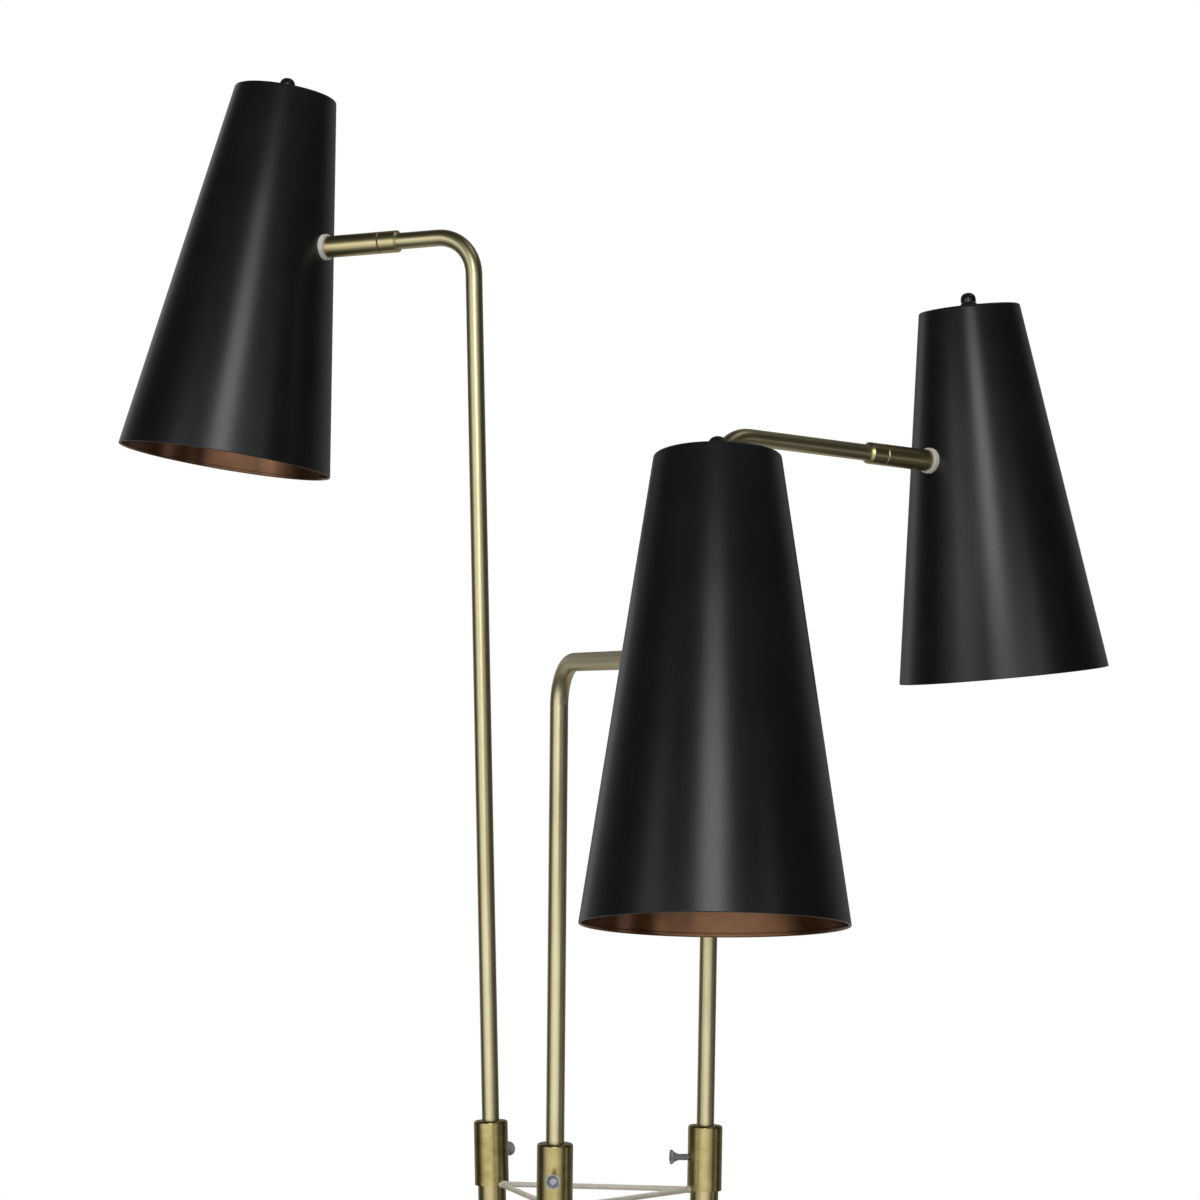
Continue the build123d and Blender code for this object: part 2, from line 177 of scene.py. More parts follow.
@dataclass(frozen=True)
class Finish:
    """A real material with its mottling and fine grain.

    The colour drifts between two tones over mottle_mm. The grain is a height pattern of grain_mm, drawn out
    by pull, and the gloss varies with it. The spreads are the stretches of both patterns that are used.
    """

    name: str
    colour: str
    drift: str
    roughness: tuple[float, float]
    mottle_mm: float
    grain_mm: float
    grain_height_mm: float
    metallic: float = 0.0
    coat: float = 0.0
    coat_roughness: float = 0.2
    sheen: float = 0.0
    transmission: float = 0.0
    pull: Pull = Pull.EVEN
    grid: Grid = Grid.LAMP
    mottle_spread: tuple[float, float] = (0.3, 0.7)
    grain_spread: tuple[float, float] = (0.25, 0.75)

    def material(self) -> bpy.types.Material:
        """Makes the material, or finds it if it is made already.

        Returns:
            The material with its nodes.
        """
        found = bpy.data.materials.get(self.name)
        if found:
            return found
        made = bpy.data.materials.new(self.name)
        made.use_nodes = True
        tree = made.node_tree
        tree.nodes.clear()
        surface = self.surface(tree)
        add_node(tree, "ShaderNodeOutputMaterial", {"Surface": surface.outputs["BSDF"]})
        return made

    def place(self, tree: bpy.types.NodeTree) -> bpy.types.NodeSocket:
        """Adds the coordinates that the patterns are laid out on.

        Args:
            tree: the material's nodes.

        Returns:
            The coordinates in metres.
        """
        if self.grid is Grid.PIECE:
            return add_node(tree, "ShaderNodeAttribute", attribute_name=OWN_PLACE).outputs["Vector"]
        return add_node(tree, "ShaderNodeTexCoord").outputs["Object"]

    def relief(self) -> list[Pattern]:
        """The patterns that stand up from the smooth form, the fine grain first."""
        return [Pattern(self.grain_mm, self.grain_height_mm, self.pull)]

    def surface(self, tree: bpy.types.NodeTree) -> bpy.types.Node:
        """Adds the shader with its colour, gloss and relief.

        Args:
            tree: the material's nodes.

        Returns:
            The shader node.
        """
        place = self.place(tree)
        mottle = Pattern(self.mottle_mm).lay_out(tree, place)
        start, end = self.mottle_spread
        contrast = {"Value": mottle, "From Min": start, "From Max": end}
        share = add_node(tree, "ShaderNodeMapRange", contrast).outputs["Result"]
        # The mix node's colours are its inputs 6 and 7 and its output 2
        tones = {0: share, 6: linear(self.colour), 7: linear(self.drift)}
        colour = add_node(tree, "ShaderNodeMix", tones, data_type="RGBA").outputs[2]
        relief = self.relief()
        layers = [pattern.lay_out(tree, place) for pattern in relief]
        height: float | bpy.types.NodeSocket = 0.0
        for pattern, layer in zip(relief, layers):
            raised = {0: layer, 1: pattern.height_mm * MM, 2: height}
            height = add_node(tree, "ShaderNodeMath", raised, operation="MULTIPLY_ADD").outputs[0]
        normal = add_node(tree, "ShaderNodeBump", {"Height": height, "Distance": 1.0}).outputs["Normal"]
        start, end = self.grain_spread
        low, high = self.roughness
        gloss = {"Value": layers[0], "From Min": start, "From Max": end, "To Min": low, "To Max": high}
        roughness = add_node(tree, "ShaderNodeMapRange", gloss).outputs["Result"]
        inputs = {
            "Base Color": colour,
            "Roughness": roughness,
            "Normal": normal,
            "Metallic": self.metallic,
            "Coat Weight": self.coat,
            "Coat Roughness": self.coat_roughness,
            "Sheen Weight": self.sheen,
            "Transmission Weight": self.transmission,
        }
        return add_node(tree, "ShaderNodeBsdfPrincipled", inputs)


@dataclass(frozen=True)
class SpunFinish(Finish):
    """A finish over spun metal: faint rings from the spinning tool and slow waves left by its roller."""

    ring_mm: float = 3.0
    ring_height_mm: float = 0.01
    wave_mm: float = 55.0
    wave_height_mm: float = 0.25
    grid: Grid = Grid.PIECE

    def relief(self) -> list[Pattern]:
        """Adds the rings and the waves to the sprayed grain.

        Returns:
            The patterns, the grain first.
        """
        rings = Pattern(self.ring_mm, self.ring_height_mm, Pull.TURNED, detail=2.0)
        waves = Pattern(self.wave_mm, self.wave_height_mm, detail=0.0)
        return [*super().relief(), rings, waves]


# Satin enamel sprayed on spun steel: near-black and even, with soft broad highlights that waver a little
# where the spinning roller left slow waves. The rings are drawn coarser than the real 0.5 mm to show.
SHADE_ENAMEL = SpunFinish(
    "satin_black_enamel_sprayed", colour="#0B0C0D", drift="#101112", roughness=(0.27, 0.34),
    mottle_mm=35.0, grain_mm=1.4, grain_height_mm=0.008,
)
# Copper-bronze lacquer sprayed inside the spun cone: warm golden brown with fine rings and a clear shine.
SHADE_COPPER = SpunFinish(
    "copper_lacquer_sprayed", colour="#795233", drift="#563824", roughness=(0.18, 0.26),
    mottle_mm=25.0, grain_mm=1.2, grain_height_mm=0.012, metallic=0.8, coat=0.3, ring_mm=1.6,
)
# Satin lacquered brass tube, drawn and brushed lengthwise: pale olive gold with a cream centre band. The
# brush lines are drawn coarser than the real 0.05 mm to show.
BRASS = Finish(
    "satin_brass_brushed_lacquered", colour="#D6CDA6", drift="#CCC198", roughness=(0.33, 0.41),
    mottle_mm=45.0, grain_mm=0.7, grain_height_mm=0.004, metallic=1.0, coat=0.12, pull=Pull.UPRIGHT,
)
# Heavier brass tube of the posts, drawn and lacquered without brushing, with a narrower shine; its deeper
# gold is painted shade.
SHADED_POST_BRASS = Finish(
    "satin_brass_drawn_lacquered", colour="#C0B285", drift="#B4A578", roughness=(0.26, 0.35),
    mottle_mm=45.0, grain_mm=0.8, grain_height_mm=0.004, metallic=1.0, coat=0.12, pull=Pull.UPRIGHT,
)
# Satin brass turned on a lathe, smoothed and lacquered: the tube's gold with a fine even grain.
TURNED_BRASS = Finish(
    "satin_brass_turned_lacquered", colour="#D6CA9C", drift="#CCBE8F", roughness=(0.32, 0.4),
    mottle_mm=45.0, grain_mm=0.8, grain_height_mm=0.004, metallic=1.0, coat=0.12,
)
# Brass collar turned from bar and lacquered by hand: its deeper gold is painted shade and its clouding is
# painted reflection.
SHADED_COLLAR_BRASS = Finish(
    "brass_collar_turned_lacquered", colour="#BCAE7A", drift="#A2925C", roughness=(0.24, 0.36),
    mottle_mm=9.0, grain_mm=0.9, grain_height_mm=0.006, metallic=1.0, coat=0.1,
)
# Powder-coated steel: black with a fine even pebble that breaks up highlights.
BASE_PAINT = Finish(
    "black_powder_coat", colour="#0C0D0E", drift="#111213", roughness=(0.4, 0.5),
    mottle_mm=40.0, grain_mm=0.9, grain_height_mm=0.03,
)
# Zinc-plated turned steel: cool grey with a cloudy, half-dull shine.
ZINC_STEEL = Finish(
    "zinc_plated_steel_turned", colour="#B2B2B6", drift="#8F9096", roughness=(0.34, 0.48),
    mottle_mm=5.0, grain_mm=0.5, grain_height_mm=0.006, metallic=0.7,
)
# Tinned drawn wire: pale warm grey and dull, with a weak soft shine.
TINNED_WIRE = Finish(
    "tinned_wire_drawn", colour="#CCC7B8", drift="#BDB7A8", roughness=(0.45, 0.58),
    mottle_mm=12.0, grain_mm=0.6, grain_height_mm=0.01, metallic=0.35,
)
# Pressed nickel washer, blasted matt: the palest metal on the lamp.
NICKEL_WASHER = Finish(
    "matt_nickel_washer_pressed", colour="#DAD8D2", drift="#CECBC4", roughness=(0.5, 0.62),
    mottle_mm=8.0, grain_mm=0.5, grain_height_mm=0.004, metallic=0.4,
)
# Sand-cast grey iron: dull dark grey with a coarse skin.
CAST_IRON = Finish(
    "grey_iron_sand_cast", colour="#3A3937", drift="#2C2A28", roughness=(0.6, 0.8),
    mottle_mm=18.0, grain_mm=1.6, grain_height_mm=0.25,
)
# Pressed wool felt: matt charcoal with a hairy nap.
FELT = Finish(
    "wool_felt_pressed", colour="#2A2A2C", drift="#37373A", roughness=(0.85, 1.0),
    mottle_mm=10.0, grain_mm=0.8, grain_height_mm=0.3, sheen=0.35,
)
# Moulded rubber: matt black with a dusty bloom.
RUBBER = Finish(
    "black_rubber_moulded", colour="#151515", drift="#1F1F1E", roughness=(0.55, 0.7),
    mottle_mm=14.0, grain_mm=0.7, grain_height_mm=0.02,
)
# Moulded nylon: milky off-white with a waxy sheen.
NYLON = Finish(
    "natural_nylon_moulded", colour="#E2DDCF", drift="#D6D0C0", roughness=(0.35, 0.48),
    mottle_mm=12.0, grain_mm=0.8, grain_height_mm=0.01,
)
# Punched vulcanised fibre: dark red-brown and dry.
FIBRE = Finish(
    "vulcanised_fibre_punched", colour="#43261C", drift="#361D16", roughness=(0.6, 0.75),
    mottle_mm=8.0, grain_mm=0.5, grain_height_mm=0.01,
)
# Moulded phenolic: deep brown-black with a soft polish.
PHENOLIC = Finish(
    "black_phenolic_moulded", colour="#141312", drift="#1D1A18", roughness=(0.28, 0.4),
    mottle_mm=16.0, grain_mm=0.8, grain_height_mm=0.01,
)
# Enamelled knob and nut: the shade's black with a little more shine.
KNOB_ENAMEL = Finish(
    "satin_black_enamel_on_brass", colour="#0B0C0D", drift="#121314", roughness=(0.24, 0.34),
    mottle_mm=10.0, grain_mm=0.9, grain_height_mm=0.006,
)
# Nickel-plated brass bulb cap, rolled: bright and a little scuffed.
BULB_CAP = Finish(
    "nickel_plated_cap_rolled", colour="#CFCBC0", drift="#BDB8AA", roughness=(0.2, 0.36),
    mottle_mm=7.0, grain_mm=0.5, grain_height_mm=0.01, metallic=1.0,
)
# Soft-white coated bulb glass, blown: milky and even with a gentle shine.
BULB_GLASS = Finish(
    "soft_white_glass_blown", colour="#F5F1E6", drift="#EEE9DC", roughness=(0.22, 0.3),
    mottle_mm=20.0, grain_mm=1.0, grain_height_mm=0.002, transmission=0.3,
)
# Matt painted studio floor: pale and even.
FLOOR_PAINT = Finish(
    "pale_matt_floor", colour="#EDECEA", drift="#E7E6E3", roughness=(0.7, 0.8),
    mottle_mm=300.0, grain_mm=4.0, grain_height_mm=0.05,
)

CAD_FINISHES: dict[str, Finish] = {
    "base_cover": BASE_PAINT,
    "base_weight": CAST_IRON,
    "base_felt": FELT,
    "base_nuts": ZINC_STEEL,
    "terminal_block": NYLON,
    "cord_gland": RUBBER,
    "spreader": TINNED_WIRE,
    "post": SHADED_POST_BRASS,
    "collar": SHADED_COLLAR_BRASS,
    "thumbscrew": ZINC_STEEL,
    "guide_bush": NYLON,
    "stem": BRASS,
    "swivel_collar": TURNED_BRASS,
    "swivel_pin": TURNED_BRASS,
    "friction_washer": FIBRE,
    "swivel_barrel": TURNED_BRASS,
    "shade_washer": NICKEL_WASHER,
    "shade_nut": ZINC_STEEL,
    "shade": SHADE_ENAMEL,
    "lampholder": PHENOLIC,
    "switch_nut": KNOB_ENAMEL,
    "switch_knob": KNOB_ENAMEL,
    "bulb_cap": BULB_CAP,
    "bulb_glass": BULB_GLASS,
}


# Modelling steps


def clear_selection() -> None:
    """Leaves edit mode and deselects everything."""
    if bpy.context.object and bpy.context.object.mode != "OBJECT":
        bpy.ops.object.mode_set(mode="OBJECT")
    bpy.ops.object.select_all(action="DESELECT")


def select_only(piece: bpy.types.Object) -> None:
    """Selects one piece and makes it the active one.

    Args:
        piece: the piece.
    """
    clear_selection()
    piece.select_set(True)
    bpy.context.view_layer.objects.active = piece


def pick(piece: bpy.types.Object, wanted: Callable[[bmesh.types.BMVert], bool]) -> None:
    """Selects points of a piece in edit mode.

    Args:
        piece: the piece that is being edited.
        wanted: says whether a point is selected.
    """
    bpy.ops.mesh.select_mode(type="VERT")
    bpy.ops.mesh.select_all(action="DESELECT")
    points = bmesh.from_edit_mesh(piece.data)
    for point in points.verts:
        point.select_set(wanted(point))
    points.select_flush_mode()
    bmesh.update_edit_mesh(piece.data)


@dataclass(frozen=True)
class Corner:
    """A corner of a turned outline: radius, height and how far its rounding reaches along each side."""

    radius: float
    height: float
    rounding: float = 0.0

    def at(self) -> Vector:
        """The corner in the outline's plane."""
        return Vector((self.radius, 0.0, self.height))


def turn(name: str, outline: Sequence[Corner], steps: int = 96, arc: int = 5) -> bpy.types.Object:
    """Turns a closed outline about Z, as on a lathe.

    Args:
        name: the piece's name.
        outline: its corners in order.
        steps: faces around.
        arc: faces in each rounded corner.

    Returns:
        The piece, in its own frame.
    """
    clear_selection()
    bpy.ops.mesh.primitive_plane_add(size=MM)
    piece = bpy.context.object
    piece.name = name
    bpy.ops.object.mode_set(mode="EDIT")
    bpy.ops.mesh.select_mode(type="VERT")
    bpy.ops.mesh.select_all(action="SELECT")
    bpy.ops.mesh.merge(type="CENTER")
    bpy.ops.transform.translate(value=outline[0].at())
    for start, end in zip(outline, outline[1:]):
        bpy.ops.mesh.extrude_region_move(TRANSFORM_OT_translate={"value": end.at() - start.at()})
    pick(piece, lambda point: len(point.link_edges) == 1)
    bpy.ops.mesh.edge_face_add()
    for corner in outline:
        if corner.rounding:
            pick(piece, lambda point, c=corner: (point.co - c.at()).length < NEAR)
            bpy.ops.mesh.bevel(offset=corner.rounding, segments=arc, affect="VERTICES")
    bpy.ops.mesh.select_all(action="SELECT")
    bpy.ops.mesh.spin(steps=steps, angle=math.tau, center=(0, 0, 0), axis=UP, use_auto_merge=True)
    bpy.ops.mesh.select_all(action="SELECT")
    bpy.ops.mesh.remove_doubles(threshold=WELD)
    bpy.ops.mesh.delete_loose()
    bpy.ops.mesh.select_all(action="SELECT")
    bpy.ops.mesh.normals_make_consistent(inside=False)
    bpy.ops.object.mode_set(mode="OBJECT")
    return piece


def combine(piece: bpy.types.Object, tool: bpy.types.Object, how: Boolean) -> None:
    """Cuts a tool out of a piece or fuses it into the piece, and removes the tool.

    Args:
        piece: the piece that changes.
        tool: a closed solid.
        how: what the tool does.
    """
    change = piece.modifiers.new(how.name, "BOOLEAN")
    change.object = tool
    change.operation = how.value
    change.solver = "EXACT"
    select_only(piece)
    bpy.ops.object.modifier_apply(modifier=change.name)
    bpy.data.objects.remove(tool)


def drill(piece: bpy.types.Object, place: Matrix, radius: float, depth: float, sides: int = 48) -> None:
    """Cuts a round hole through a piece.

    Args:
        piece: the piece that gets the hole.
        place: middle of the hole, with Z along it.
        radius: radius of the hole.
        depth: length of the drill.
        sides: faces around the hole.
    """
    clear_selection()
    bpy.ops.mesh.primitive_cylinder_add(vertices=sides, radius=radius, depth=depth)
    bit = bpy.context.object
    bit.matrix_world = place
    combine(piece, bit, Boolean.CUT)


def finish_model(
    piece: bpy.types.Object, finishes: Sequence[Finish], sharp_degrees: float = 30.0
) -> None:
    """Smooths a modelled piece, keeps its points' own places for patterns and gives it its materials.

    Args:
        piece: the piece in its own frame.
        finishes: one for each material slot.
        sharp_degrees: edges sharper than this stay sharp.
    """
    select_only(piece)
    bpy.ops.object.shade_smooth_by_angle(angle=math.radians(sharp_degrees))
    own = piece.data.attributes.new(OWN_PLACE, "FLOAT_VECTOR", "POINT")
    for point, value in zip(piece.data.vertices, own.data):
        value.vector = point.co
    for finish in finishes:
        piece.data.materials.append(finish.material())


def set_down(model: bpy.types.Object, name: str, place: Matrix) -> bpy.types.Object:
    """Copies a modelled piece, with a mesh of its own, to its place in the lamp.

    Args:
        model: the piece in its own frame.
        name: the copy's name.
        place: its own frame in the lamp's frame.

    Returns:
        The copy, with its place in its mesh.
    """
    select_only(model)
    bpy.ops.object.duplicate()
    copy = bpy.context.object
    copy.name = name
    copy.data.name = name
    copy.matrix_world = place
    bpy.ops.object.transform_apply(location=True, rotation=True, scale=True)
    return copy


def hand_over(piece: bpy.types.Object, body: str, slot: str, *nodes: str) -> None:
    """Lets a piece ride on its body in place of its nodes, and reports it.

    Args:
        piece: the finished piece.
        body: the body that it moves with.
        slot: the record's material slot; not used.
        nodes: the nodes that it stands for.
    """
    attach(piece, body)
    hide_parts(*nodes)
    LOG.info("%s rides on %s, %d faces", piece.name, body, len(piece.data.polygons))


# Places


def axes(origin: Sequence[float], along: Vector, towards: Vector) -> Matrix:
    """Makes a frame.

    Args:
        origin: its origin.
        along: direction of its Z.
        towards: where its X leans to.

    Returns:
        The frame as a matrix.
    """
    z = along.normalized()
    x = (towards - z * towards.dot(z)).normalized()
    turned = Matrix((x, z.cross(x), z)).transposed()
    return Matrix.Translation(origin) @ turned.to_4x4()


@dataclass(frozen=True)
class LightPlaces:
    """The frames that one light's pieces are modelled in, read from its joints.

    post is at the collar's top with Z up the post and X out along the arm. screw is on the post's axis with
    Z out along the thumbscrew. shade is at the middle of its top, with Z up its axis and X towards the arm.
    """

    side: Side
    post: Matrix
    screw: Matrix
    shade: Matrix

    @classmethod
    def read(cls, side: Side, joints: Sequence[dict[str, Any]]) -> LightPlaces:
        """Reads one light's frames.

        Args:
            side: which light.
            joints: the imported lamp's joints.

        Returns:
            The light's frames.
        """
        named = {joint["name"]: joint for joint in joints}
        turn_joint, clamp, tilt, switch = [
            named[f"{motion}_{side.value}"] for motion in ("turn", "clamp", "tilt", "switch")
        ]
        post_up, screw_out, arm_back, shade_up = [
            Vector(joint["axis"]) for joint in (turn_joint, clamp, tilt, switch)
        ]
        return cls(
            side,
            post=axes(turn_joint["pos_m"], post_up, -arm_back),
            screw=axes(clamp["pos_m"], screw_out, post_up),
            shade=axes(switch["pos_m"], shade_up, arm_back),
        )


# Sub-assemblies


@dataclass
class LightPiece:
    """A piece that every light has: it is modelled once and set down in each.

    The copies, their bodies and the nodes that they stand for are named by these words and the side.
    """

    name: str
    body: str
    slot: str
    node: str

    def model(self) -> bpy.types.Object:
        """Models the piece in its own frame and dresses it."""
        raise NotImplementedError

    def frame(self, light: LightPlaces) -> Matrix:
        """The frame of a light that the piece is modelled in."""
        return light.shade

    def build(self, places: Sequence[LightPlaces]) -> None:
        """Models the piece, sets it down in every light and hands it over.

        Args:
            places: the lights' frames.
        """
        model = self.model()
        for light in places:
            side = light.side.value
            piece = set_down(model, f"{self.name}_{side}", self.frame(light))
            hand_over(piece, f"{self.body}_{side}", self.slot, f"{self.node}_{side}")
        bpy.data.objects.remove(model)


@dataclass
class Shade(LightPiece):
    """Spun cone: enamelled outside, copper lacquer inside, its rim rolled inwards."""

    name: str = "spun_shade"
    body: str = "head"
    slot: str = "black_paint"
    node: str = "shade"
    mouth_radius: float = 82.5 * MM
    top_radius: float = 39.8 * MM
    height: float = 291.2 * MM
    wall: float = 1.0 * MM
    edge_rounding: float = 1.7 * MM
    hem_height: float = 2.6 * MM
    hem_lip: float = 0.7 * MM
    hem_rounding: float = 0.6 * MM
    hem_top_rounding: float = 0.3 * MM
    switch_hole: float = 5.3 * MM
    swivel_drop: float = 118.2 * MM
    swivel_hole: float = 5.3 * MM
    drill_length: float = 21.2 * MM
    washer_reach: float = 10.0 * MM
    inward_lean: float = 0.5
    steps: int = 160

    @property
    def taper(self) -> float:
        """Angle between the wall and the axis."""
        return math.atan((self.mouth_radius - self.top_radius) / self.height)

    def outer(self, depth: float) -> float:
        """Outer radius at a depth below the top."""
        return self.top_radius + depth * math.tan(self.taper)

    def inner(self, depth: float) -> float:
        """Inner radius at a depth below the top."""
        return self.outer(depth) - self.wall / math.cos(self.taper)

    def outline(self) -> list[Corner]:
        """Works out the wall's outline, with rings near the swivel's hole that keep the cut local.

        Returns:
            Its corners, from the switch's hole down the outside and up the inside.
        """
        hem_top = self.height - self.hem_height
        ring_high = self.swivel_drop - self.washer_reach
        ring_low = self.swivel_drop + self.washer_reach
        return [
            Corner(self.switch_hole, 0.0),
            Corner(self.top_radius, 0.0, self.edge_rounding),
            Corner(self.outer(ring_high), -ring_high),
            Corner(self.outer(ring_low), -ring_low),
            Corner(self.mouth_radius, -self.height, self.hem_rounding),
            Corner(self.inner(self.height) - self.hem_lip, -self.height, self.hem_rounding),
            Corner(self.inner(hem_top) - self.hem_lip, -hem_top, self.hem_top_rounding),
            Corner(self.inner(hem_top), -hem_top),
            Corner(self.inner(ring_low), -ring_low),
            Corner(self.inner(ring_high), -ring_high),
            Corner(self.inner(self.wall), -self.wall, self.edge_rounding - self.wall),
            Corner(self.switch_hole, -self.wall),
        ]

    def swivel_place(self) -> Matrix:
        """Works out where the swivel's hole goes through the wall, square to it.

        Returns:
            The middle of the hole, with Z along it.
        """
        square = Vector((math.cos(self.taper), 0.0, math.sin(self.taper)))
        at = (self.outer(self.swivel_drop), 0.0, -self.swivel_drop)
        return axes(at, square, UP)

    def is_inside(self, face: bpy.types.MeshPolygon) -> bool:
        """Says whether a face of the wall is on its copper side.

        Args:
            face: a face of the turned wall.

        Returns:
            True on the copper side.
        """
        out = face.center.xy
        mid_wall = self.outer(-face.center.z) - self.wall / 2
        within = face.center.z < -self.wall / 2 and out.length < mid_wall
        return within and face.normal.xy.dot(out.normalized()) < -self.inward_lean

    def model(self) -> bpy.types.Object:
        """Turns the wall, drills it for the swivel and dresses both of its sides.

        Returns:
            The shade in its own frame.
        """
        model = turn("shade_model", self.outline(), self.steps)
        drill(model, self.swivel_place(), self.swivel_hole, self.drill_length)
        finish_model(model, (SHADE_ENAMEL, SHADE_COPPER))
        for face in model.data.polygons:
            face.material_index = int(self.is_inside(face))
        return model


@dataclass
class Thumbscrew(LightPiece):
    """Thumbscrew with a threaded shank and a dished trumpet head with a knurled rim."""

    name: str = "knurled_thumbscrew"
    body: str = "thumbscrew"
    slot: str = "steel"
    node: str = "thumbscrew"
    stem_radius: float = 6.35 * MM
    tip_gap: float = 0.3 * MM
    collar_radius: float = 12.5 * MM
    reach: float = 13.0 * MM
    shank_radius: float = 2.5 * MM
    thread_pitch: float = 0.8 * MM
    thread_depth: float = 0.45 * MM
    head_radius: float = 5.35 * MM
    head_length: float = 6.5 * MM
    rim: float = 1.0 * MM
    rim_rounding: float = MM / 3
    dish: float = 2.0 * MM
    dish_floor_radius: float = 2.2 * MM
    dish_rounding: float = 0.25 * MM
    knurl_share: float = 0.95
    steps: int = 64
    arc: int = 4
    sharp_degrees: float = 35.0

    def outline(self) -> list[Corner]:
        """Works out the screw's outline, with a ridge for each turn of the thread.

        Returns:
            Its corners, from the tip to the dish.
        """
        tip = self.stem_radius + self.tip_gap
        end = self.collar_radius + self.reach
        flare = end - self.head_length
        root = self.shank_radius - self.thread_depth
        corners = [Corner(0.0, tip), Corner(root, tip)]
        for ridge in range(int((flare - tip) / self.thread_pitch)):
            low = tip + ridge * self.thread_pitch
            corners.append(Corner(self.shank_radius, low + self.thread_pitch / 2))
            corners.append(Corner(root, low + self.thread_pitch))
        return corners + [
            Corner(self.shank_radius, flare + self.thread_pitch),
            Corner(self.shank_radius, flare + self.shank_radius, self.shank_radius),
            Corner(self.head_radius, end - self.rim, self.rim_rounding),
            Corner(self.head_radius, end, self.rim_rounding),
            Corner(self.head_radius - self.rim, end, self.dish_rounding),
            Corner(self.dish_floor_radius, end - self.dish, self.dish_rounding),
            Corner(0.0, end - self.dish),
        ]

    def is_valley(self, point: bmesh.types.BMVert) -> bool:
        """Says whether a point is in a valley of the rim's knurl.

        Args:
            point: a point of the turned screw.

        Returns:
            True in a valley.
        """
        around = round(math.atan2(point.co.y, point.co.x) / math.tau * self.steps)
        on_rim = math.hypot(point.co.x, point.co.y) > self.head_radius - self.rim / 2
        return on_rim and around % 2 == 1

    def model(self) -> bpy.types.Object:
        """Turns the screw, draws the valleys of its knurl in and dresses it.

        Returns:
            The screw in its own frame.
        """
        model = turn("thumbscrew_model", self.outline(), self.steps, self.arc)
        bpy.ops.object.mode_set(mode="EDIT")
        pick(model, self.is_valley)
        narrowed = (self.knurl_share, self.knurl_share, 1.0)
        bpy.ops.transform.resize(value=narrowed, center_override=(0.0, 0.0, 0.0))
        finish_model(model, (ZINC_STEEL,), self.sharp_degrees)
        return model

    def frame(self, light: LightPlaces) -> Matrix:
        """The frame of the light's thumbscrew."""
        return light.screw


@dataclass
class Lampholder(LightPiece):
    """Moulded lampholder: a stepped body with ring grooves and a rounded mouth."""

    name: str = "grooved_lampholder"
    body: str = "head"
    slot: str = "phenolic"
    node: str = "lampholder"
    wall_of_shade: float = 1.0 * MM
    bush_radius: float = 5.0 * MM
    bush_rise: float = 4.4 * MM
    bush_rounding: float = 0.45 * MM
    bore: float = 2.05 * MM
    waist_radius: float = 16.5 * MM
    waist_length: float = 18.0 * MM
    shoulder: float = 5.0 * MM
    body_radius: float = 19.5 * MM
    body_rounding: float = 0.75 * MM
    length: float = 50.0 * MM
    socket_radius: float = 13.5 * MM
    socket_depth: float = 30.0 * MM
    groove_depth: float = 0.9 * MM
    groove_width: float = 1.4 * MM
    groove_slope: float = 0.35 * MM
    groove_rounding: float = 0.3 * MM
    groove_pitch: float = 4.2 * MM
    grooves: int = 4
    mouth_rounding: float = 1.5 * MM
    arc: int = 4

    def outline(self) -> list[Corner]:
        """Works out the holder's outline.

        Returns:
            Its corners, from the top of its bush, down the outside and up the socket.
        """
        top = -self.wall_of_shade
        foot = top - self.length
        step = top - self.waist_length
        body_top = step - (self.body_radius - self.waist_radius)
        corners = [
            Corner(self.bore, self.bush_rise),
            Corner(self.bush_radius, self.bush_rise, self.bush_rounding),
            Corner(self.bush_radius, top),
            Corner(self.waist_radius, top, self.shoulder),
            Corner(self.waist_radius, step),
            Corner(self.body_radius, body_top, self.body_rounding),
        ]
        for groove in range(self.grooves):
            high = body_top - (groove + 1) * self.groove_pitch
            low = high - self.groove_width
            deep = self.body_radius - self.groove_depth
            corners.append(Corner(self.body_radius, high, self.groove_rounding))
            corners.append(Corner(deep, high - self.groove_slope))
            corners.append(Corner(deep, low + self.groove_slope))
            corners.append(Corner(self.body_radius, low, self.groove_rounding))
        return corners + [
            Corner(self.body_radius, foot, self.mouth_rounding),
            Corner(self.socket_radius, foot, self.mouth_rounding),
            Corner(self.socket_radius, foot + self.socket_depth),
            Corner(self.bore, foot + self.socket_depth),
        ]

    def model(self) -> bpy.types.Object:
        """Turns the holder and dresses it.

        Returns:
            The holder in its own frame.
        """
        model = turn("lampholder_model", self.outline(), arc=self.arc)
        finish_model(model, (PHENOLIC,))
        return model


